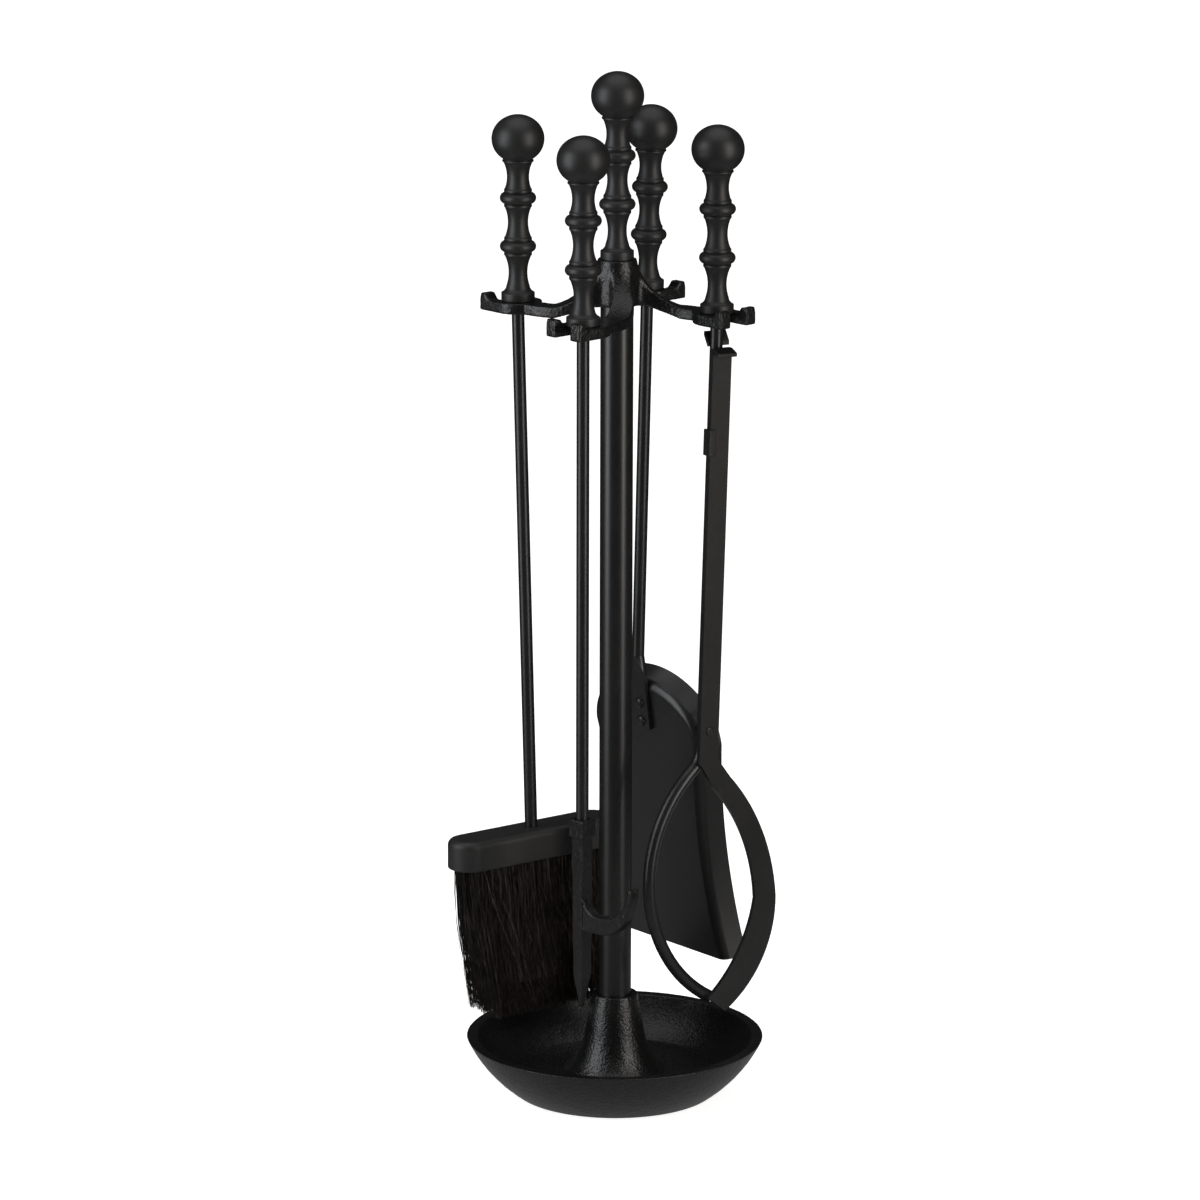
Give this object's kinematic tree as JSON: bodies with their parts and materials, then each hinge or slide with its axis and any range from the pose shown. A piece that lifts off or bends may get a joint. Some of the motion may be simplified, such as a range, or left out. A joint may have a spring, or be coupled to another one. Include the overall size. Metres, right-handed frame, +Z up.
{
  "type": "fireplace tool set",
  "caption": "Fireplace tool set: a dish base with a post and forked crown that carries a brush, poker, shovel and tongs, each with a turned ball handle.",
  "frame": {"origin": "on the floor at the middle of the base's foot ring, on the axis of the post", "axes": "+Z up along the post; the tongs' fork opens towards +X, the shovel's towards +Y, the brush's towards -X and the poker's towards -Y"},
  "size_m": [0.237, 0.2407, 0.7874],
  "materials": {
    "cast_black": "black coated sand casting, semi-gloss, pebbled",
    "smooth_black": "black coated smooth steel, satin",
    "handle_black": "black coated turned metal, semi-gloss",
    "zinc_steel": "zinc plated",
    "block_black": "black satin lacquer",
    "bristle_dark": "dark brown-black fibre"
  },
  "bodies": {
    "stand": {"base_bowl": "cast_black", "post_tube": "smooth_black", "hook_crown": "cast_black", "tie_rod": "zinc_steel", "base_washer": "zinc_steel", "base_nut": "zinc_steel", "post_handle": "handle_black"},
    "brush": {"brush_handle": "handle_black", "brush_rod": "smooth_black", "brush_block": "block_black", "brush_bristles": "bristle_dark"},
    "poker": {"poker_handle": "handle_black", "poker_rod": "smooth_black", "poker_head": "cast_black"},
    "shovel": {"shovel_handle": "handle_black", "shovel_rod": "smooth_black", "shovel_blade": "smooth_black", "shovel_rivets": "smooth_black"},
    "tongs": {"tongs_handle": "handle_black", "tongs_rod": "smooth_black", "tongs_pivot_rivet": "smooth_black", "tongs_finger_tab": "smooth_black"},
    "lever": {"tongs_lever": "smooth_black", "tongs_thumb_tab": "smooth_black", "tongs_guide_clip": "smooth_black"}
  },
  "joints": [
    {"name": "brush_lift", "type": "slide", "parent": "stand", "child": "brush", "axis": [-0.4695, 0, 0.8829], "range_m": [0, 0.2]},
    {"name": "poker_lift", "type": "slide", "parent": "stand", "child": "poker", "axis": [0, -0.4695, 0.8829], "range_m": [0, 0.2]},
    {"name": "shovel_lift", "type": "slide", "parent": "stand", "child": "shovel", "axis": [0, 0.4695, 0.8829], "range_m": [0, 0.2]},
    {"name": "tongs_lift", "type": "slide", "parent": "stand", "child": "tongs", "axis": [0, 0, 1], "range_m": [0, 0.0055]},
    {"name": "lever_pivot", "type": "hinge", "parent": "tongs", "child": "lever", "pos_m": [0.07277, 0.02758, 0.29217], "axis": [0.9903, -0.1392, 0], "range_deg": [0, 18]}
  ]
}
